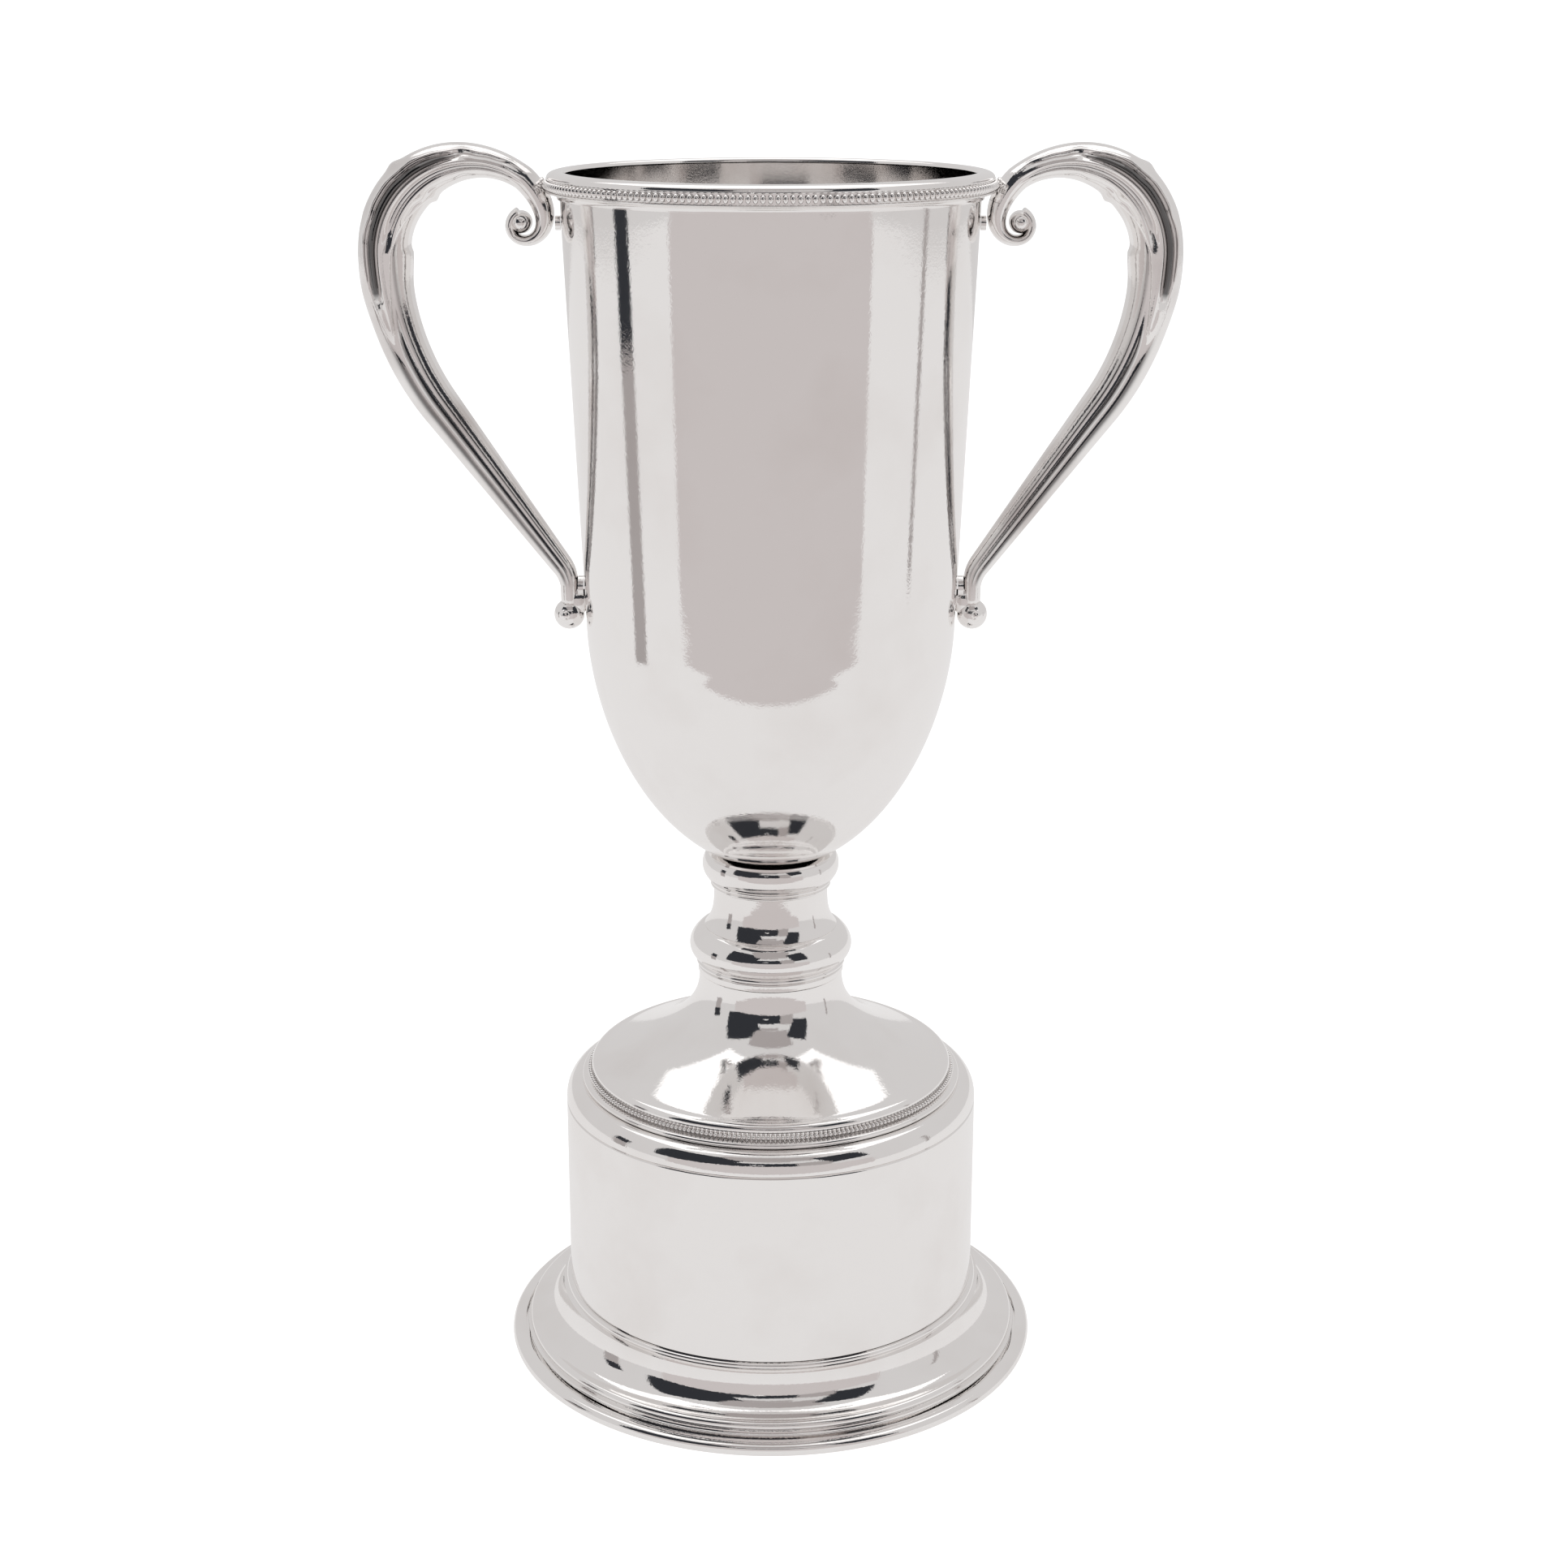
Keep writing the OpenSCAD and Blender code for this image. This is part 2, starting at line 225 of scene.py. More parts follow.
def polish_group() -> bpy.types.NodeTree:
    """Builds the hand-polished surface: fine swirl marks, faint smears and a breath of tarnish.

    Returns:
        A group with Roughness, Height and Tarnish outputs.
    """
    group = group_shell(
        "hand_polish",
        {"Marks": 1.0, "Smooth": 0.03, "Rough": 0.09},
        {"Roughness": "NodeSocketFloat", "Height": "NodeSocketFloat", "Tarnish": "NodeSocketFloat"},
    )
    nodes, links = group.nodes, group.links
    entry, leave = nodes.new("NodeGroupInput"), nodes.new("NodeGroupOutput")
    place = nodes.new("ShaderNodeTexCoord")
    smear = nodes.new("ShaderNodeTexNoise")
    smear.inputs["Scale"].default_value = 26
    smear.inputs["Detail"].default_value = 5
    marks = nodes.new("ShaderNodeTexNoise")
    marks.inputs["Scale"].default_value = 520
    marks.inputs["Detail"].default_value = 3
    marks.inputs["Distortion"].default_value = 1.6
    for texture in (smear, marks):
        links.new(place.outputs["Object"], texture.inputs["Vector"])
    spread = nodes.new("ShaderNodeMapRange")
    spread.inputs["From Min"].default_value = 0.35
    spread.inputs["From Max"].default_value = 0.7
    links.new(smear.outputs["Fac"], spread.inputs["Value"])
    links.new(entry.outputs["Smooth"], spread.inputs["To Min"])
    links.new(entry.outputs["Rough"], spread.inputs["To Max"])
    links.new(spread.outputs["Result"], leave.inputs["Roughness"])
    height = nodes.new("ShaderNodeMath")
    height.operation = "MULTIPLY"
    links.new(marks.outputs["Fac"], height.inputs[0])
    links.new(entry.outputs["Marks"], height.inputs[1])
    links.new(height.outputs["Value"], leave.inputs["Height"])
    stain = nodes.new("ShaderNodeMapRange")
    stain.inputs["From Min"].default_value = 0.5
    stain.inputs["From Max"].default_value = 0.8
    links.new(smear.outputs["Fac"], stain.inputs["Value"])
    links.new(stain.outputs["Result"], leave.inputs["Tarnish"])
    return group


@dataclass(frozen=True)
class SilverFinish:
    """Silver plate: how bright, how smooth and how marked it is, and how much painted shade darkens
    its hollows.
    """

    name: str
    bright: tuple[float, float, float] = (0.92, 0.905, 0.895)
    tarnish: tuple[float, float, float] = (0.87, 0.845, 0.83)
    smooth: float = 0.025
    rough: float = 0.07
    marks: float = 1.0
    bump: float = 0.02
    # Painted shade in the hollows: how strongly they are darkened, and the near-black colour they
    # are darkened towards.
    painted_recess_shade: float = 0.0
    painted_shade_colour: tuple[float, float, float] = (0.07, 0.067, 0.068)

    def build(self, polish: bpy.types.NodeTree) -> bpy.types.Material:
        """Makes the material.

        Args:
            polish: The shared hand-polish group.

        Returns:
            The new material.
        """
        material, shader = plain_material(self.name, self.bright)
        shader.inputs["Metallic"].default_value = 1.0
        tree = material.node_tree
        wear_and_painted_shade = tree.nodes.new("ShaderNodeGroup")
        wear_and_painted_shade.node_tree = polish
        wear_and_painted_shade.inputs["Marks"].default_value = self.marks
        wear_and_painted_shade.inputs["Smooth"].default_value = self.smooth
        wear_and_painted_shade.inputs["Rough"].default_value = self.rough
        tint = tree.nodes.new("ShaderNodeMix")
        tint.data_type = "RGBA"
        tint.inputs["A"].default_value = (*self.bright, 1)
        tint.inputs["B"].default_value = (*self.tarnish, 1)
        bump = tree.nodes.new("ShaderNodeBump")
        bump.inputs["Strength"].default_value = self.bump
        bump.inputs["Distance"].default_value = MM
        tree.links.new(wear_and_painted_shade.outputs["Tarnish"], tint.inputs["Factor"])
        colour = tint.outputs["Result"]
        # Painted shade: where the mesh carries a flute depth, the colour is mixed towards the
        # near-black shade colour, as if shade fell in the hollows.
        if self.painted_recess_shade:
            hollow = tree.nodes.new("ShaderNodeAttribute")
            hollow.attribute_name = "painted_recess_shade"
            depth = tree.nodes.new("ShaderNodeMath")
            depth.operation = "MULTIPLY"
            depth.inputs[1].default_value = self.painted_recess_shade
            shaded_colour = tree.nodes.new("ShaderNodeMix")
            shaded_colour.data_type = "RGBA"
            shaded_colour.inputs["B"].default_value = (*self.painted_shade_colour, 1)
            tree.links.new(hollow.outputs["Fac"], depth.inputs[0])
            tree.links.new(depth.outputs["Value"], shaded_colour.inputs["Factor"])
            tree.links.new(colour, shaded_colour.inputs["A"])
            colour = shaded_colour.outputs["Result"]
        tree.links.new(colour, shader.inputs["Base Color"])
        tree.links.new(wear_and_painted_shade.outputs["Roughness"], shader.inputs["Roughness"])
        tree.links.new(wear_and_painted_shade.outputs["Height"], bump.inputs["Height"])
        tree.links.new(bump.outputs["Normal"], shader.inputs["Normal"])
        return material


@dataclass(frozen=True)
class GrainFinish:
    """A material whose colour and surface follow stretched noise, such as wood, felt or zinc."""

    name: str
    light: tuple[float, float, float]
    dark: tuple[float, float, float]
    scale: float
    stretch: tuple[float, float, float] = (1, 1, 1)
    metallic: float = 0.0
    roughness: float = 0.6
    bump: float = 0.3

    def build(self) -> bpy.types.Material:
        """Makes the material.

        Returns:
            The new material.
        """
        material, shader = plain_material(self.name, self.light)
        shader.inputs["Metallic"].default_value = self.metallic
        shader.inputs["Roughness"].default_value = self.roughness
        tree = material.node_tree
        place = tree.nodes.new("ShaderNodeTexCoord")
        turn = tree.nodes.new("ShaderNodeMapping")
        turn.inputs["Scale"].default_value = self.stretch
        noise = tree.nodes.new("ShaderNodeTexNoise")
        noise.inputs["Scale"].default_value = self.scale
        noise.inputs["Detail"].default_value = 6
        ramp = tree.nodes.new("ShaderNodeValToRGB")
        ramp.color_ramp.elements[0].position = 0.35
        ramp.color_ramp.elements[0].color = (*self.dark, 1)
        ramp.color_ramp.elements[1].position = 0.65
        ramp.color_ramp.elements[1].color = (*self.light, 1)
        bump = tree.nodes.new("ShaderNodeBump")
        bump.inputs["Strength"].default_value = self.bump
        bump.inputs["Distance"].default_value = MM / 2
        tree.links.new(place.outputs["Object"], turn.inputs["Vector"])
        tree.links.new(turn.outputs["Vector"], noise.inputs["Vector"])
        tree.links.new(noise.outputs["Fac"], ramp.inputs["Fac"])
        tree.links.new(ramp.outputs["Color"], shader.inputs["Base Color"])
        tree.links.new(noise.outputs["Fac"], bump.inputs["Height"])
        tree.links.new(bump.outputs["Normal"], shader.inputs["Normal"])
        return material


def plain_material(
    name: str, colour: tuple[float, float, float]
) -> tuple[bpy.types.Material, bpy.types.ShaderNode]:
    """Starts a material from a Principled shader.

    Args:
        name: The material's name.
        colour: Its base colour.

    Returns:
        The material and its shader node.
    """
    material = bpy.data.materials.new(name)
    material.use_nodes = True
    shader = material.node_tree.nodes["Principled BSDF"]
    shader.inputs["Base Color"].default_value = (*colour, 1)
    return material, shader


@dataclass
class Finishes:
    """Every finish of the cup, built once."""

    silver: bpy.types.Material
    beads: bpy.types.Material
    cast: bpy.types.Material
    steel: bpy.types.Material
    board: bpy.types.Material
    block: bpy.types.Material
    felt: bpy.types.Material

    @classmethod
    def build(cls) -> "Finishes":
        """Makes all the materials.

        Returns:
            The finishes.
        """
        polish = polish_group()
        return cls(
            silver=SilverFinish("silver_plate").build(polish),
            beads=SilverFinish("silver_beads", rough=0.1, marks=0.6).build(polish),
            # The cast handles get painted shade darkening their flutes and hollows.
            cast=SilverFinish(
                "silver_cast",
                tarnish=(0.62, 0.575, 0.56),
                smooth=0.04,
                rough=0.12,
                bump=0.04,
                painted_recess_shade=0.9,
            ).build(polish),
            steel=GrainFinish(
                "zinc_steel",
                (0.62, 0.62, 0.64),
                (0.5, 0.5, 0.53),
                240,
                metallic=1.0,
                roughness=0.35,
                bump=0.1,
            ).build(),
            board=GrainFinish("sealed_board", (0.34, 0.23, 0.14), (0.24, 0.15, 0.09), 60).build(),
            block=GrainFinish(
                "turned_block", (0.58, 0.44, 0.3), (0.42, 0.29, 0.18), 24, stretch=(1, 9, 1)
            ).build(),
            felt=GrainFinish(
                "green_felt", (0.07, 0.18, 0.11), (0.035, 0.1, 0.06), 700, roughness=0.95, bump=0.6
            ).build(),
        )


# ---------------------------------------------------------------- turned sub-assemblies


@dataclass
class Plinth:
    """The round plinth: rounded edge, base moulding, straight band and rolled shoulder."""

    skin: float = 1.5
    bore: float = 4.3
    fillet: float = 1.3

    def edge_ring(self) -> bpy.types.Object:
        """Turns the rounded edge that the cup stands on."""
        r, low, high = span("edge_ring")
        inner = span("base_plate")[0] + 0.3
        moulding = span("base_moulding")[0]
        band = span("plinth_band")[0]
        round_r = (high - low) / 2
        under = span("base_plate")[2] + 0.3
        outline = [(inner, low), (r - round_r - 0.8, low)]
        outline += arc(r - round_r, low + round_r, round_r, -90, 84, 20)
        outline += [(moulding + 1.1, high), (moulding + 0.9, high - 1.7)]
        outline += [(moulding - 0.4, high - 1.7)]
        outline += [(moulding - 0.6, high), (band + 2, high), (band + 2, under), (inner, under)]
        return lathe("plinth_edge", outline)

    def base_moulding(self) -> bpy.types.Object:
        """Turns the moulding: fine steps, a small roll, a long cove and the top fillet."""
        r, low, high = span("base_moulding")
        band = span("plinth_band")[0]
        inner = span("plinth_core")[0] + 0.3
        outline = [(inner, low), (r - 0.5, low)]
        outline += arc(r - 0.55, low + 0.8, 0.55, -80, 85, 6)
        outline += [(r - 1.2, low + 1.5), (r - 1.2, low + 2.4)]
        outline += arc(r - 2.9, low + 3.3, 1.9, -25, 100, 14)
        cove_r, cove_z = r - 4.4, low + 5.0
        top_r, top_z = band + 3.0, high - 3.6
        outline += [
            (
                top_r + (cove_r - top_r) * (1 - math.sin(math.pi / 2 * i / 24)),
                cove_z + (top_z - cove_z) * (1 - math.cos(math.pi / 2 * i / 24)),
            )
            for i in range(25)
        ]
        outline += [(top_r, high - 3.1), (band + 1.9, high - 3.0)]
        outline += arc(band + 0.45, high - self.fillet - 0.15, self.fillet, -60, 90, 12)
        outline += [(band - self.skin, high), (inner, high)]
        return lathe("base_moulding_turned", outline)

    def band(self) -> bpy.types.Object:
        """Turns the straight band."""
        r, low, high = span("plinth_band")
        inner = r - self.skin
        outline = [(inner, low), (r - 0.2, low), (r, low + 0.2), (r, high - 0.5)]
        outline += [(r - 0.25, high - 0.15), (r - 0.5, high), (inner, high)]
        return lathe("plinth_band_turned", outline)

    def shoulder(self) -> bpy.types.Object:
        """Turns the rolled shoulder that closes the plinth."""
        r, low, high = span("plinth_lid")
        band_top = span("plinth_band")[2]
        core_top = span("plinth_core")[2]
        foot = span("foot_base_ring")[0]
        lean, rise = r - foot - 0.6, high - band_top
        outline = [(self.bore, core_top), (r - self.skin, core_top - 1.2)]
        outline += [(r - self.skin, band_top)]
        outline += [(r - 0.6, band_top), (r - 0.2, band_top + 0.4)]
        outline += [
            (r - lean * (1 - math.cos(a)), band_top + 0.6 + (rise - 0.6) * math.sin(a))
            for a in (math.pi / 2 * i / 24 for i in range(25))
        ]
        outline += [(self.bore, high)]
        return lathe("plinth_shoulder", outline)

    def build(self, finishes: Finishes) -> None:
        """Makes and dresses the plinth.

        Args:
            finishes: The cup's finishes.
        """
        dress(self.edge_ring(), finishes.silver, "silver", "edge_ring")
        dress(self.base_moulding(), finishes.silver, "silver", "base_moulding")
        dress(self.band(), finishes.silver, "silver", "plinth_band")
        dress(self.shoulder(), finishes.silver, "silver", "plinth_lid")
        redress("plinth_core", finishes.block)
        redress("base_plate", finishes.board)
        redress("base_screws", finishes.steel)
        redress("felt_pad", finishes.felt)


@dataclass
class BeadRow:
    """A soldered row of small beads round a ring."""

    name: str
    node: str
    count: int
    tall: float
    wide: float
    proud: float

    def build(self, finishes: Finishes) -> None:
        """Models one bead, copies it round the ring and dresses the row.

        Args:
            finishes: The cup's finishes.
        """
        r, low, high = span(self.node)
        mid = (low + high) / 2
        deselect()
        centre = ((r - self.proud) * MM, 0, mid * MM)
        bpy.ops.mesh.primitive_uv_sphere_add(
            segments=10, ring_count=7, radius=MM, location=centre
        )
        row = bpy.context.object
        bpy.ops.object.mode_set(mode="EDIT")
        bpy.ops.mesh.select_all(action="SELECT")
        bpy.ops.transform.resize(
            value=(self.proud, self.wide / 2, self.tall / 2), center_override=centre
        )
        bpy.ops.mesh.spin(
            steps=self.count - 1,
            dupli=True,
            angle=math.tau * (self.count - 1) / self.count,
            center=(0, 0, 0),
            axis=(0, 0, 1),
        )
        bpy.ops.mesh.select_all(action="SELECT")
        bpy.ops.mesh.normals_make_consistent(inside=False)
        bpy.ops.object.mode_set(mode="OBJECT")
        settle(row, self.name)
        smooth(row, math.radians(80))
        dress(row, finishes.beads, "silver_beads", self.node)


@dataclass
class Foot:
    """The domed foot: trumpet, rolled lip, bead row and the ring under it."""

    bore: float = 4.3
    lip: float = 3.9
    lip_rise: float = 2.5

    def base_ring(self) -> bpy.types.Object:
        """Turns the ring that carries the beads."""
        r, low, high = span("foot_base_ring")
        bead_low, bead_high = span("foot_bead_band")[1] - 0.3, span("foot_bead_band")[2] + 0.3
        outline = [(r - 16, low), (r - 1.6, low), (r - 1.2, low + 0.1)]
        outline += arc(r - 1.1, low + 1.2, 1.1, -70, 75, 12)
        outline += [(r - 1.6, low + 2.3), (r - 2.2, bead_low - 0.1), (r - 3.9, bead_low)]
        outline += [(r - 3.9, bead_high), (r - 3.6, high), (r - 16, high)]
        return lathe("foot_ring", outline)

    def dome(self) -> bpy.types.Object:
        """Turns the trumpet with its rolled lip."""
        r, low, high = span("foot_dome")
        throat = span("stem_pedestal")[0] - 1.2
        lip_x, lip_z = r - self.lip, low + 0.6
        outline = [(r - 16, low), (r - 1.0, low)]
        outline += [
            (lip_x + self.lip * math.cos(a), lip_z + self.lip_rise * math.sin(a))
            for a in (math.radians(-12 + 4 * i) for i in range(25))
        ]
        start = lip_z + self.lip_rise
        wall = []
        for i in range(61):
            t = i / 60
            wall.append((throat + (lip_x - throat) * (1 - t) ** 2.45, start + (high - start) * t))
        outline += wall[1:] + [(self.bore, high), (self.bore, high - 3), (throat - 4, high - 3)]
        outline += [(x - 2.2, z - 2.4) for x, z in reversed(wall[6:54])]
        return lathe("foot_trumpet", outline)

    def build(self, finishes: Finishes) -> None:
        """Makes and dresses the foot.

        Args:
            finishes: The cup's finishes.
        """
        dress(self.base_ring(), finishes.silver, "silver", "foot_base_ring")
        dress(self.dome(), finishes.silver, "silver", "foot_dome")
        BeadRow("foot_beads", "foot_bead_band", 250, 1.75, 1.6, 1.0).build(finishes)


@dataclass
class Stem:
    """The stem: pedestal, knop, waisted neck and collar."""

    bore: float = 4.3

    def pedestal(self) -> bpy.types.Object:
        """Turns the fascia and the bead under the knop."""
        r, low, high = span("stem_pedestal")
        throat = r - 0.9
        h = high - low
        outline = [(self.bore, low), (throat - 0.2, low)]
        outline += arc(throat - 0.1, low + 0.12 * h, 0.3, -60, 20, 4)
        outline += [(throat + 0.2, low + 0.46 * h), (throat, low + 0.5 * h)]
        outline += [(throat - 0.3, low + 0.54 * h)]
        outline += [
            (throat - 0.1 + 0.95 * math.sin(math.pi * i / 12) ** 0.8, low + h * (0.57 + 0.033 * i))
            for i in range(13)
        ]
        outline += [(throat - 0.2, high), (self.bore, high)]
        return lathe("stem_pedestal_turned", outline)

    def knop(self) -> bpy.types.Object:
        """Turns the knop, a full rounded barrel between the fascia and the neck."""
        r, low, high = span("knop")
        top_r = span("stem_neck")[0]
        low_r = r - 3.4
        h = high - low
        outline = [(self.bore, low)]
        for i in range(49):
            t = i / 48
            base = low_r + (top_r + 0.2 - low_r) * t
            outline.append((base + 4.5 * math.sin(math.pi * t) ** 0.62, low + h * t))
        outline += [(self.bore, high)]
        return lathe("knop_turned", outline)

    def neck(self) -> bpy.types.Object:
        """Turns the neck that flares on to the knop, with fine beads under the collar."""
        r, low, high = span("stem_neck")
        waist = r - 3.6
        h = high - low
        outline = [(self.bore, low), (r - 0.2, low)]
        for i in range(33):
            t = i / 32
            outline.append((waist + 3.6 * (1 - t) ** 3.6, low + 0.3 + (h - 4.2) * t))
        outline += arc(waist + 0.6, high - 3.1, 0.65, -70, 80, 8)
        outline += arc(waist + 0.8, high - 1.6, 0.7, -80, 70, 8)
        outline += [(waist + 1.4, high - 0.7), (waist + 2.1, high), (self.bore, high)]
        return lathe("stem_neck_turned", outline)

    def collar(self) -> bpy.types.Object:
        """Turns the rounded collar that the bowl sits on."""
        r, low, high = span("bowl_collar")
        h = high - low
        outline = [(self.bore, low), (r - 1.8, low)]
        outline += [
            (r - 1.9 + 1.8 * math.sin(math.pi * i / 30) ** 0.6, low + 0.3 + (h - 0.6) * i / 30)
            for i in range(31)
        ]
        outline += [(r - 2.2, high), (self.bore, high)]
        return lathe("collar_turned", outline)

    def build(self, finishes: Finishes) -> None:
        """Makes and dresses the stem.

        Args:
            finishes: The cup's finishes.
        """
        dress(self.pedestal(), finishes.silver, "silver", "stem_pedestal")
        dress(self.knop(), finishes.silver, "silver", "knop")
        dress(self.neck(), finishes.silver, "silver", "stem_neck")
        dress(self.collar(), finishes.silver, "silver", "bowl_collar")
        for node in ("tie_rod", "tie_rod_nuts", "tie_rod_washers"):
            redress(node, finishes.steel)


@dataclass
class Bowl:
    """The spun bowl and its moulded, beaded rim."""

    wall: float = 1.2
    bore: float = 4.3
    taper: float = 6.4
    round_part: float = 0.362
    skirt: float = 8.4

    def radius(self, z: float, low: float, high: float, r: float, inset: float) -> float:
        """Gives the bowl's radius at a height.

        Args:
            z: The height.
            low: The bowl's lowest height.
            high: The bowl's highest height.
            r: The bowl's radius under the rim.
            inset: How far inside the outer skin to measure.

        Returns:
            The radius in millimetres.
        """
        turn = low + (high - low) * self.round_part
        deep = turn - low + 5
        base = r - self.taper
        if z < turn:
            fall = (turn - z) / (deep - inset)
            return (base - inset) * math.sqrt(max(0.0, 1 - fall**1.8))
        return base - inset + self.taper * min(1.0, (z - turn) / (high - self.skirt - turn))

    def shell(self) -> bpy.types.Object:
        """Turns the bowl as one thin shell."""
        r, low, high = span("cup_bowl")
        turn = low + (high - low) * self.round_part
        heights = [low + (turn - low) * (1 - math.cos(math.pi / 2 * i / 60)) for i in range(61)]
        straight = [turn + (high - self.skirt - turn) * i / 24 for i in range(1, 25)]
        outer = [(self.radius(z, low, high, r, 0), z) for z in heights + straight]
        floor = low + 1.8
        inner = [
            (self.radius(z, low, high, r, self.wall), z)
            for z in heights + straight
            if z > floor + 0.2
        ]
        outline = [(self.bore, low)] + outer + [(r, high), (r - self.wall, high)]
        outline += list(reversed(inner))
        outline += [(self.radius(floor, low, high, r, self.wall), floor), (self.bore, floor)]
        return lathe("bowl_spun", outline)

    def rim(self) -> bpy.types.Object:
        """Turns the rim: cove, lower fillet, bead channel and rolled lip."""
        r, low, high = span("rim_moulding")
        cup_r, _, wall_top = span("cup_bowl")
        bead_low, bead_high = span("rim_bead_band")[1] - 0.3, span("rim_bead_band")[2] + 0.3
        inner = cup_r + 0.3
        floor = cup_r + 4.2
        fillet = floor + 0.9
        outline = [(inner, low), (inner + 0.5, low)]
        outline += [
            (
                inner + 0.7 + (fillet - 0.4 - inner - 0.7) * (1 - math.cos(math.pi / 2 * i / 12)),
                low + 0.1 + (bead_low - 0.9 - low) * math.sin(math.pi / 2 * i / 12),
            )
            for i in range(13)
        ]
        outline += arc(fillet - 0.35, bead_low - 0.45, 0.35, -80, 80, 6)
        outline += [(floor, bead_low), (floor, bead_high)]
        outline += arc(floor + 0.3, bead_high + 0.3, 0.3, -80, 60, 4)
        crown = high - bead_high - 0.6
        outline += [
            (
                cup_r + 0.4 + 4.2 * math.cos(a),
                bead_high + 0.6 + crown * math.sin(a) ** 0.9,
            )
            for a in (math.pi / 2 * i / 18 for i in range(1, 19))
        ]
        outline += arc(cup_r - self.wall + 0.8, high - 1.5, 1.5, 100, 195, 14)
        outline += [(cup_r - self.wall - 0.5, wall_top + 0.3), (inner, wall_top + 0.3)]
        return lathe("rim_turned", outline)

    def build(self, finishes: Finishes) -> None:
        """Makes and dresses the bowl and rim.

        Args:
            finishes: The cup's finishes.
        """
        dress(self.shell(), finishes.silver, "silver", "cup_bowl")
        dress(self.rim(), finishes.silver, "silver", "rim_moulding")
        BeadRow("rim_beads", "rim_bead_band", 204, 3.1, 2.1, 1.5).build(finishes)


# ---------------------------------------------------------------- handles


def ease(t: float) -> float:
    """Gives a smooth step from 0 to 1 for t between 0 and 1."""
    t = min(1.0, max(0.0, t))
    return t * t * (3 - 2 * t)


def ridge(u: float, centre: float, width: float) -> float:
    """Gives a rounded ridge of height 1 at centre, that fades over width."""
    return math.exp(-(((u - centre) / width) ** 2))


def trough(u: float, centre: float, half: float) -> float:
    """Gives a flat-bottomed flute of depth 1 between centre - half and centre + half."""
    return ease((half + 0.12 - abs(u - centre)) / 0.24)


def on_arc(centre: tuple[float, float], r: float, angle: float) -> tuple[float, float]:
    """Gives the point at an angle in radians on a circle round a centre."""
    return centre[0] + r * math.cos(angle), centre[1] + r * math.sin(angle)


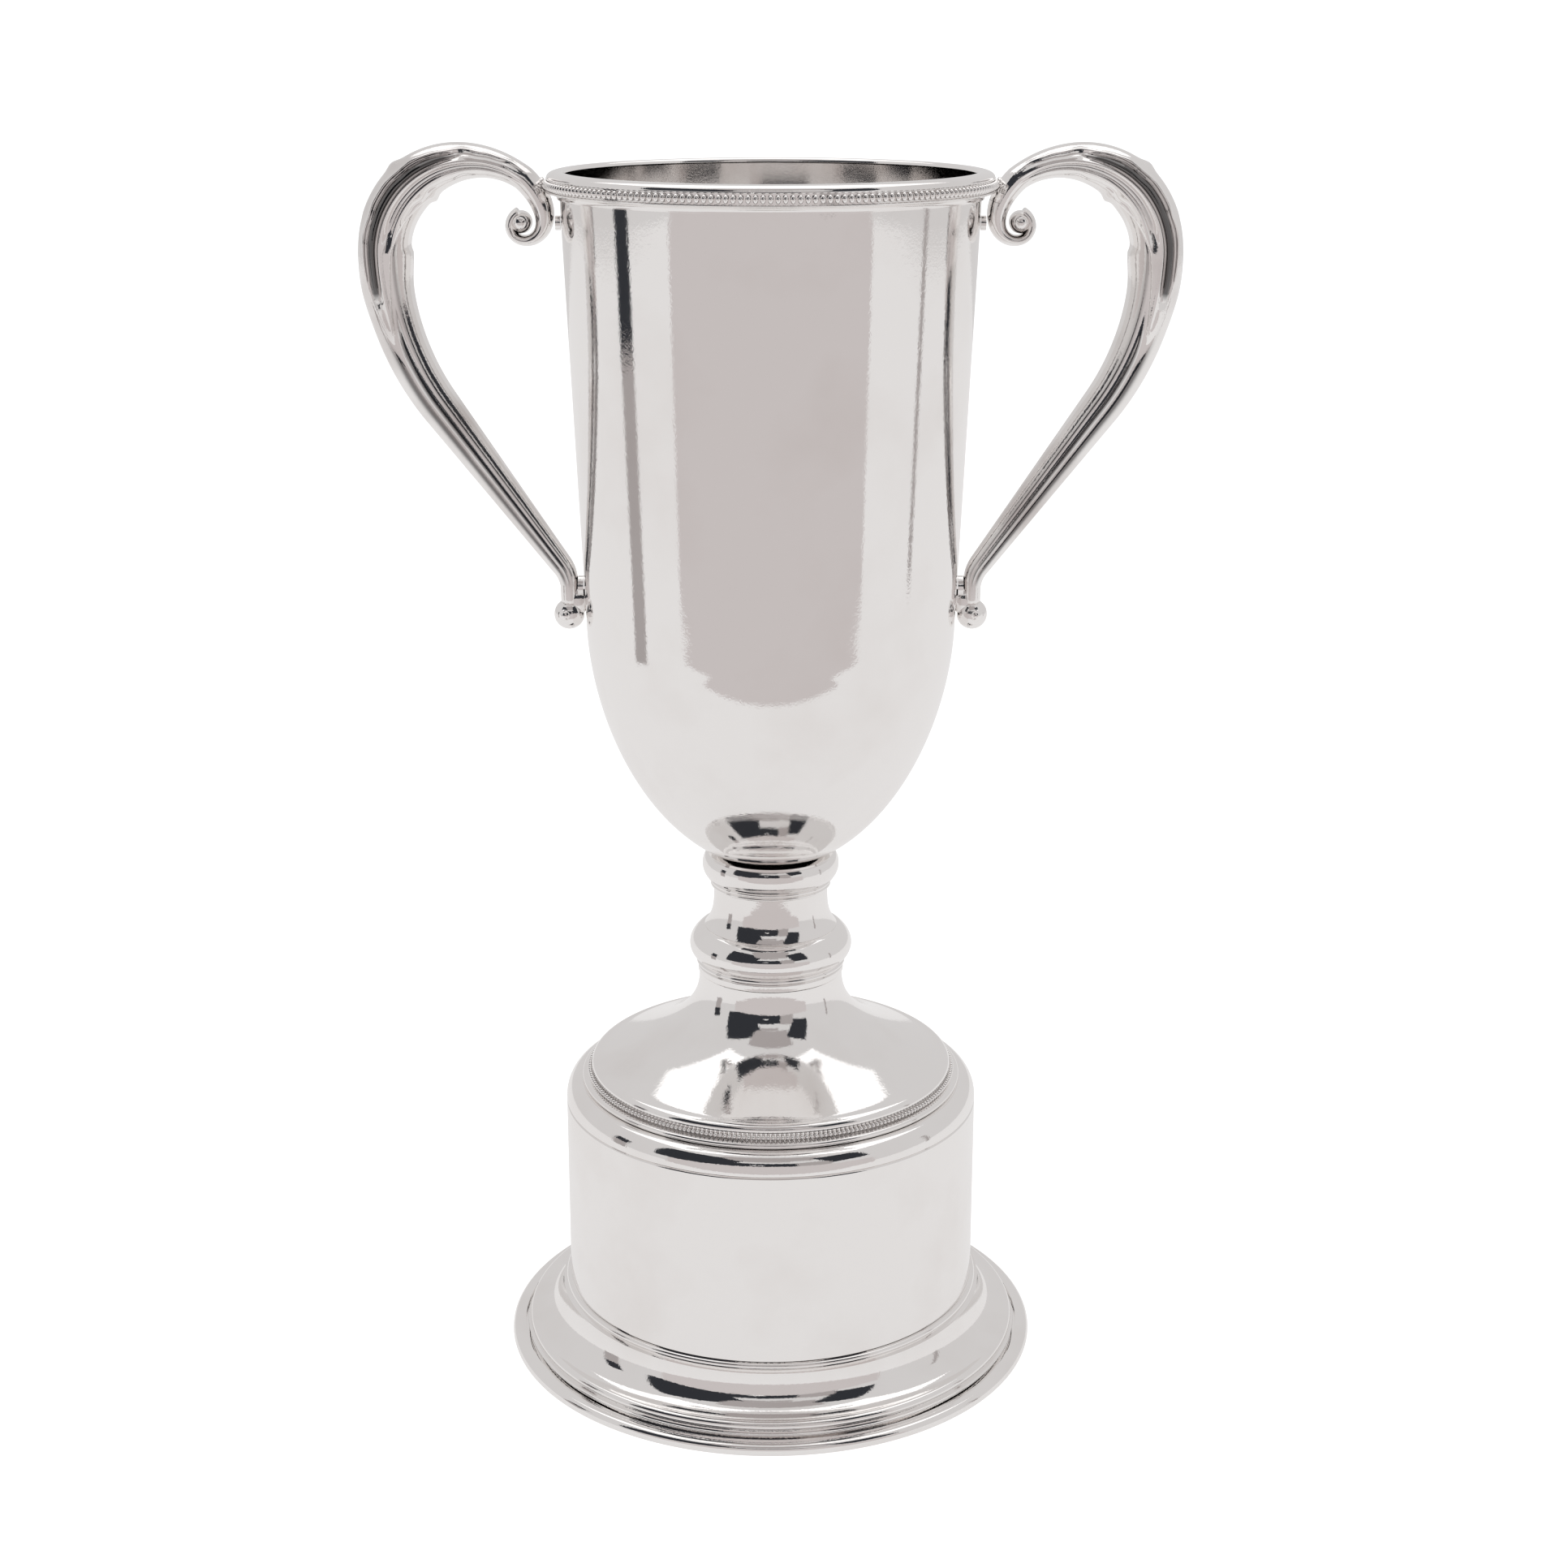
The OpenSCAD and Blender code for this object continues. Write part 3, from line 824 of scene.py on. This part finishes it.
@dataclass(frozen=True)
class ScrollLine:
    """The handle's centre line, as radius from the cup's axis and height in millimetres.

    Each station also has its stage: 0 to 1 in the volute, to 2 over the scroll, and to 3
    down the straight arm into the ball. Angles are in degrees.
    """

    scroll_r: float = 32.0
    scroll_turn: float = 126.0
    scroll_sink: float = 1.0
    arm_bend: float = 36.0
    foot_bend: float = 14.0
    volute_out: float = 12.8
    volute_drop: float = 16.6
    volute_core: float = 6.1
    volute_turn: float = 330.0
    volute_curl: float = 9.0
    eye_pull: float = 1.6
    ball_out: float = 0.1
    ball_share: float = 0.3683
    end_in: float = 0.2
    end_rise: float = 10.5
    tail_step: float = 2.2

    @property
    def volute(self) -> tuple[float, float]:
        """Gives the heart of the volute."""
        cup_r, _, wall_top = span("cup_bowl")
        return cup_r + self.volute_out, wall_top - self.volute_drop

    @property
    def scroll(self) -> tuple[float, float]:
        """Gives the centre of the scroll."""
        turn = math.radians(self.scroll_turn)
        return (
            self.volute[0] - self.scroll_r * math.cos(turn),
            span("cup_bowl")[2] - self.scroll_sink - self.scroll_r * math.sin(turn),
        )

    @property
    def ball(self) -> tuple[float, float]:
        """Gives the centre of the ball at the foot of the arm."""
        cup_r, seat, wall_top = span("cup_bowl")
        return cup_r + self.ball_out, seat + self.ball_share * (wall_top - seat)

    def coil(self, steps: int = 60) -> list[tuple[float, float, float]]:
        """Winds out of the volute to the start of the scroll.

        Args:
            steps: Stations on the way.

        Returns:
            The stations, stage 0 up to 1.
        """
        volute = self.volute
        start = on_arc(self.scroll, self.scroll_r, math.radians(self.scroll_turn))
        offset = (start[0] - volute[0], start[1] - volute[1])
        first_r, first_a = math.hypot(*offset), math.atan2(offset[1], offset[0])
        stations = []
        for i in range(steps):
            back = 1 - i / steps
            r = self.volute_core + (first_r - self.volute_core) * math.exp(-back * self.volute_curl)
            r -= self.eye_pull * ease((back - 0.6) / 0.4)
            angle = first_a + math.radians(self.volute_turn) * back
            stations.append((*on_arc(volute, r, angle), i / steps))
        return stations

    def crest(self, steps: int = 120) -> list[tuple[float, float, float]]:
        """Rides over the scroll.

        Args:
            steps: Stations on the way.

        Returns:
            The stations, stage 1 up to 2.
        """
        scroll, turn = self.scroll, math.radians(self.scroll_turn)
        return [
            (*on_arc(scroll, self.scroll_r, turn * (1 - i / steps)), 1 + i / steps)
            for i in range(steps)
        ]

    def arm(self) -> list[tuple[float, float, float]]:
        """Bends inwards, runs straight down and turns into the ball.

        Returns:
            The stations, stage 2 up to 3.
        """
        scroll, ball = self.scroll, self.ball
        end_x, end_z = ball[0] - self.end_in, ball[1] + self.end_rise
        bend, side_x = math.radians(self.arm_bend), scroll[0] + self.scroll_r
        drop = (self.foot_bend * (1 - math.cos(bend)), self.foot_bend * math.sin(bend))
        reach, fall = side_x - end_x - drop[0], scroll[1] - end_z - drop[1]
        arm_r = (reach * math.cos(bend) - fall * math.sin(bend)) / (
            (1 - math.cos(bend)) * math.cos(bend) - math.sin(bend) ** 2
        )
        length = (fall - arm_r * math.sin(bend)) / math.cos(bend)
        centre = (side_x - arm_r, scroll[1])
        line = [on_arc(centre, arm_r, -bend * i / 40) for i in range(40)]
        low = on_arc(centre, arm_r, -bend)
        for i in range(70):
            step = length * i / 70
            line.append((low[0] - step * math.sin(bend), low[1] - step * math.cos(bend)))
        foot = (end_x + self.foot_bend, end_z)
        line += [on_arc(foot, self.foot_bend, math.pi - bend * (1 - i / 20)) for i in range(21)]
        line += [(end_x, end_z - self.tail_step * i) for i in range(1, 4)]
        return [(x, z, 2 + i / (len(line) - 1)) for i, (x, z) in enumerate(line)]

    def stations(self) -> list[tuple[float, float, float]]:
        """Gives the whole line from the volute to the ball."""
        return self.coil() + self.crest() + self.arm()


@dataclass
class Handle:
    """A cast scroll: volute, leaf-wrapped top with two flutes, reeded arm and ball foot.

    Its surface is a loft whose every section has its own relief, which no chain of extrusions
    can give, so the skin is laid out point by point.
    """

    side: Axis
    line: ScrollLine = ScrollLine()
    half_thick: float = 9.5
    half_wide: float = 9.5
    neck_thick: float = 4.45
    neck_wide: float = 6.8
    around: int = 200

    def size(self, stage: float) -> tuple[float, float]:
        """Gives the half thickness and half width of the section at a stage, in millimetres."""
        if stage < 1:
            return 1.8 + 2.8 * ease((stage - 0.35) / 0.75), 5.0 + 1.8 * stage
        if stage < 2:
            t = ease((stage - 1.0) / 0.72)
            grown = ease((stage - 1) / 0.5)
            return (
                self.neck_thick + (self.half_thick - self.neck_thick) * t,
                self.neck_wide + (self.half_wide - self.neck_wide) * grown,
            )
        t = stage - 2
        return (
            self.half_thick - 6.3 * t**0.95,
            self.half_wide - (self.half_wide - 4.0) * ease(t / 0.95),
        )

    def relief(self, u: float, stage: float) -> float:
        """Gives how far the face stands out, as a share of the half thickness.

        Args:
            u: Place across the face, 1 at the outer edge and -1 at the inner edge.
            stage: Place along the handle.

        Returns:
            The height, positive outwards.
        """
        wave = 0.035 * math.sin(stage * 30) + 0.02 * math.sin(stage * 53 + 1)
        tip = 2.16 - 0.5 * (u - 0.2) ** 2
        leaf = ease((stage - 0.95) / 0.2) * ease((tip - stage) / 0.02)
        arm = ease((stage - tip - 0.01) / 0.05) * ease((3.0 - stage) / 0.12)
        face = 0.0
        if leaf > 0:
            channel = ease((2.10 - stage) / 0.05) * ease((stage - 1.25) / 0.3)
            groove = ease((2.02 - stage) / 0.2)
            shift = 0.12 * ease((stage - 1.7) / 0.4)
            face += leaf * (
                0.13
                + 0.10 * ridge(u, 0.66 + wave, 0.07)
                - 0.42 * channel * trough(u, 0.36 + shift * 0.3, 0.17)
                - 0.08 * ease((1.9 - stage) / 0.4) * ridge(u, 0.40 + wave, 0.14)
                + 0.05 * ridge(u, 0.04, 0.09)
                - 0.17 * groove * ridge(u, -0.20, 0.13)
                + 0.06 * ridge(u, -0.42, 0.09)
                - 0.08 * groove * ridge(u, -0.64 + wave, 0.08)
            )
        if arm > 0:
            face += arm * (
                -0.13 * ridge(u, 0.36, 0.15)
                - 0.11 * ridge(u, -0.08, 0.11)
                - 0.07 * ridge(u, -0.46, 0.09)
            )
        return face

    def lobes(self, u: float, stage: float) -> float:
        """Gives how far the leaf's tips stand past the edges, in millimetres."""
        outer = 1.0 * ridge(stage, 1.62, 0.03) + 0.7 * ridge(stage, 2.06, 0.05)
        inner = 1.1 * ridge(stage, 1.56, 0.035) + 1.0 * ridge(stage, 2.01, 0.04)
        return outer * max(0.0, u) ** 2 + inner * max(0.0, -u) ** 2

    def skin(self) -> bpy.types.Object:
        """Lofts the skin of the scroll, closed at both ends, and stores how deep each point sits in
        the flutes as painted shade.
        """
        path = self.line.stations()
        count = len(path)
        verts: list[tuple[float, float, float]] = []
        # Painted shade depth of each point, darkest deep in the flutes.
        wear_and_painted_shade: list[float] = []
        for i, (x, z, stage) in enumerate(path):
            before, after = path[max(0, i - 1)], path[min(count - 1, i + 1)]
            tangent = Vector((after[0] - before[0], after[1] - before[1])).normalized()
            out = Vector((-tangent.y, tangent.x))
            thick, wide = self.size(stage)
            for k in range(self.around):
                a = math.tau * k / self.around
                u, v = math.cos(a), math.sin(a)
                stand = self.relief(u, stage) * abs(v) ** 0.7 * thick
                along = (thick + self.lobes(u, stage) * (1 - abs(v)) ** 0.5) * u + stand * u * 0.3
                deep = wide * v + math.copysign(stand, v)
                verts.append(((x + out.x * along) * MM, deep * MM, (z + out.y * along) * MM))
                # Painted shade: points sunk into the flutes get a depth that darkens their colour.
                wear_and_painted_shade.append(min(1.0, max(0.0, -self.relief(u, stage) * 7 * abs(v) ** 0.5)))
        faces = [
            (i * self.around + k, i * self.around + (k + 1) % self.around,
             (i + 1) * self.around + (k + 1) % self.around, (i + 1) * self.around + k)
            for i in range(count - 1)
            for k in range(self.around)
        ]
        faces.append(tuple(range(self.around - 1, -1, -1)))
        faces.append(tuple((count - 1) * self.around + k for k in range(self.around)))
        mesh = bpy.data.meshes.new("scroll_skin")
        mesh.from_pydata(verts, [], faces)
        # The painted shade depths are stored on the mesh for the cast finish to read.
        mesh.attributes.new("painted_recess_shade", "FLOAT", "POINT").data.foreach_set("value", wear_and_painted_shade)
        piece = bpy.data.objects.new("scroll_skin", mesh)
        bpy.context.scene.collection.objects.link(piece)
        return piece

    def ball_piece(
        self, x: float, z: float, size: tuple[float, float, float]
    ) -> bpy.types.Object:
        """Models a ball with a soft girdle, such as the eye of the volute.

        Args:
            x: Its distance from the cup's axis, in millimetres.
            z: Its height, in millimetres.
            size: Its half sizes along X, Y and Z, in millimetres.

        Returns:
            The new ball.
        """
        deselect()
        centre = (x * MM, 0, z * MM)
        bpy.ops.mesh.primitive_uv_sphere_add(segments=40, ring_count=24, radius=MM, location=centre)
        ball = bpy.context.object
        bpy.ops.object.mode_set(mode="EDIT")
        bpy.ops.mesh.select_all(action="SELECT")
        bpy.ops.transform.resize(value=size, center_override=centre)
        bpy.ops.object.mode_set(mode="OBJECT")
        return ball

    def build(self, finishes: Finishes) -> None:
        """Makes the handle, joins its cast details and dresses it.

        Args:
            finishes: The cup's finishes.
        """
        skin = self.skin()
        volute_x, volute_z = self.line.volute
        ball_x, ball_z = self.line.ball
        beads_z = span("rim_bead_band")[1] + 1.4
        rim_r = span("rim_bead_band")[0]
        parts = [
            skin,
            self.ball_piece(volute_x + 1.4, volute_z + 0.4, (4.1, 7.0, 4.1)),
            self.ball_piece(ball_x, ball_z, (5.7, 5.6, 5.7)),
            self.ball_piece(ball_x + 1.2, ball_z + 0.4, (3.2, 6.6, 3.2)),
            self.ball_piece(rim_r + 0.2, beads_z, (1.0, 2.4, 2.3)),
            self.ball_piece(rim_r + 1.4, beads_z, (1.4, 1.5, 1.5)),
            self.ball_piece(rim_r + 2.7, beads_z + 0.2, (1.0, 2.6, 2.5)),
            self.ball_piece(ball_x - 3.2, ball_z + 5.0, (4.4, 3.6, 5.4)),
        ]
        deselect()
        for part in parts:
            part.select_set(True)
        bpy.context.view_layer.objects.active = skin
        bpy.ops.object.join()
        if self.side is Axis.LEFT:
            bpy.ops.transform.mirror(
                constraint_axis=(True, False, False), center_override=(0, 0, 0)
            )
        name = "handle_" + self.side.name.lower()
        settle(skin, name + "_cast")
        bpy.ops.object.mode_set(mode="EDIT")
        bpy.ops.mesh.select_all(action="SELECT")
        bpy.ops.mesh.normals_make_consistent(inside=False)
        bpy.ops.object.mode_set(mode="OBJECT")
        smooth(skin, math.pi)
        dress(skin, finishes.cast, "silver_cast", name)
        for node in ("handle_lug_", "handle_ear_"):
            redress(node + self.side.name.lower(), finishes.cast)


# ---------------------------------------------------------------- studio


@dataclass
class Studio:
    """A white tent with a pale floor, soft sides, and the dim room above the lens."""

    distance: float = 0.94
    height: float = 0.5174
    pitch: float = math.radians(16.984)
    lens: float = 58.9
    shift_x: float = 0.0085
    dome_level: float = 0.72
    floor_level: float = 0.70
    seen_level: float = 1.15
    card_far: float = 1.4

    def camera(self) -> None:
        """Sets the camera on the axis, looking slightly down."""
        data = bpy.data.cameras.new("camera")
        data.lens = self.lens
        data.sensor_width = 36
        data.shift_x = self.shift_x
        data.clip_start = 0.05
        camera = bpy.data.objects.new("camera", data)
        camera.location = (0, -self.distance, self.height)
        camera.rotation_euler = (math.pi / 2 - self.pitch, 0, 0)
        bpy.context.scene.collection.objects.link(camera)
        bpy.context.scene.camera = camera

    def world(self) -> None:
        """Lights everything with an even, faintly warm dome that the lens sees as white."""
        world = bpy.data.worlds.new("tent")
        world.use_nodes = True
        tree = world.node_tree
        dome = tree.nodes["Background"]
        dome.inputs["Color"].default_value = (0.93, 0.91, 0.905, 1)
        dome.inputs["Strength"].default_value = self.dome_level
        paper = tree.nodes.new("ShaderNodeBackground")
        paper.inputs["Color"].default_value = (1, 1, 1, 1)
        paper.inputs["Strength"].default_value = self.seen_level
        seen = tree.nodes.new("ShaderNodeLightPath")
        mix = tree.nodes.new("ShaderNodeMixShader")
        tree.links.new(seen.outputs["Is Camera Ray"], mix.inputs["Fac"])
        tree.links.new(dome.outputs["Background"], mix.inputs[1])
        tree.links.new(paper.outputs["Background"], mix.inputs[2])
        tree.links.new(mix.outputs["Shader"], tree.nodes["World Output"].inputs["Surface"])
        bpy.context.scene.world = world

    def floor(self) -> None:
        """Lays the pale floor."""
        deselect()
        bpy.ops.mesh.primitive_plane_add(size=6, location=(0, 0, -0.0002))
        floor = bpy.context.object
        floor.name = "floor"
        material, shader = plain_material("pale_floor", (0.2, 0.2, 0.2))
        shader.inputs["Roughness"].default_value = 1
        shader.inputs["Specular IOR Level"].default_value = 0
        shader.inputs["Emission Color"].default_value = (0.95, 0.935, 0.93, 1)
        tree = material.node_tree
        seen = tree.nodes.new("ShaderNodeLightPath")
        level = tree.nodes.new("ShaderNodeMapRange")
        level.inputs["To Min"].default_value = self.floor_level
        level.inputs["To Max"].default_value = self.seen_level
        tree.links.new(seen.outputs["Is Camera Ray"], level.inputs["Value"])
        tree.links.new(level.outputs["Result"], shader.inputs["Emission Strength"])
        floor.data.materials.append(material)

    def card(
        self,
        name: str,
        at: tuple[float, float, float],
        size: tuple[float, float],
        glow: tuple[float, float, float],
        aim: tuple[float, float, float] = (0, 0, 0.3),
    ) -> None:
        """Hangs a flat card that only the silver sees.

        Args:
            name: The card's name.
            at: Its centre, in metres.
            size: Its width and height, in metres.
            glow: Its brightness in red, green and blue.
            aim: The point that it faces.
        """
        deselect()
        bpy.ops.mesh.primitive_plane_add(size=1, location=at)
        card = bpy.context.object
        card.name = name
        card.rotation_euler = (Vector(aim) - Vector(at)).to_track_quat("Z", "Y").to_euler()
        card.scale = (size[0], size[1], 1)
        material, shader = plain_material(name, (0, 0, 0))
        shader.inputs["Specular IOR Level"].default_value = 0
        shader.inputs["Emission Color"].default_value = (*glow, 1)
        shader.inputs["Emission Strength"].default_value = 1
        card.data.materials.append(material)
        card.visible_camera = False
        card.visible_shadow = False
        card.visible_diffuse = False

    def panel(
        self,
        name: str,
        turn: float,
        rise: float,
        wide: float,
        tall: float,
        glow: tuple[float, float, float],
    ) -> None:
        """Hangs a card at a direction from the cup.

        Args:
            name: The card's name.
            turn: Its direction in degrees, 0 towards the camera and positive to the right.
            rise: Its height above the horizon, in degrees.
            wide: Its width, in degrees.
            tall: Its height, in degrees.
            glow: Its brightness in red, green and blue.
        """
        far, heart = self.card_far, (0, 0, 0.25)
        a, e = math.radians(turn), math.radians(rise)
        at = (
            far * math.sin(a) * math.cos(e),
            -far * math.cos(a) * math.cos(e),
            heart[2] + far * math.sin(e),
        )
        size = [2 * far * math.tan(math.radians(v) / 2) for v in (wide, tall)]
        self.card(name, at, (size[0], size[1]), glow, heart)

    def cards(self) -> None:
        """Hangs the cards whose reflections draw the silver."""
        dim = (0.032, 0.034, 0.04)
        mauve = (0.40, 0.37, 0.365)
        grey = (0.60, 0.56, 0.555)
        white = (1.25, 1.22, 1.2)
        self.card("screen_front", (0, -0.62, 0.16), (1.75, 0.32), grey, (0, 0, 0.16))
        self.card("screen_far", (0, -1.3, 0.25), (3.6, 0.5), grey, (0, 0, 0.25))
        # Painted shade: a grey patch lying on the floor in front, seen only in the silver's
        # reflections, where the floor is in shadow.
        self.card("painted_floor_shade", (0, -0.56, 0.001), (0.9, 0.12), grey, (0, -0.56, 1))
        self.panel("room_front", -6, 16, 40, 28, dim)
        self.panel("room_lamp", -7, 20, 7, 1.2, white)
        self.panel("room_wall", 24, 16, 18, 28, mauve)
        self.panel("bar_above", -2, 40, 22, 5, mauve)
        self.panel("ceiling", 0, 56, 40, 26, mauve)
        self.panel("room_left", -44, 30, 42, 46, dim)
        self.panel("room_right", 44, 36, 22, 34, dim)
        self.card("gap_left", (-0.9, -0.08, 0.34), (0.15, 0.20), dim, (0, -0.02, 0.34))
        self.card("gap_left_low", (-0.9, -0.08, 0.12), (0.15, 0.24), mauve, (0, -0.02, 0.12))
        self.card("gap_right", (1.2, 0.0, 0.25), (0.06, 0.5), mauve, (0, 0, 0.25))

    def lights(self) -> None:
        """Hangs one large soft light above, so that the floor stays bright."""
        data = bpy.data.lights.new("sky_panel", "AREA")
        data.shape = "RECTANGLE"
        data.size, data.size_y = 2.0, 1.4
        data.energy = 5
        lamp = bpy.data.objects.new("sky_panel", data)
        lamp.location = (0, 0.5, 1.8)
        aim = Vector((0, 0, 0)) - lamp.location
        lamp.rotation_euler = aim.to_track_quat("-Z", "Y").to_euler()
        bpy.context.scene.collection.objects.link(lamp)

    def build(self) -> None:
        """Sets up the whole studio."""
        self.camera()
        self.world()
        self.floor()
        self.cards()
        self.lights()
        bpy.context.scene.view_settings.view_transform = "Standard"
        LOG.info("studio ready")


def main() -> None:
    """Builds the cup in order, from the studio to the handles."""
    logging.basicConfig(level=logging.INFO, format="%(message)s")
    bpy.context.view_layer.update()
    Studio().build()
    finishes = Finishes.build()
    Plinth().build(finishes)
    Foot().build(finishes)
    Stem().build(finishes)
    Bowl().build(finishes)
    for side in Axis:
        Handle(side).build(finishes)


if __name__ == "__main__":
    main()
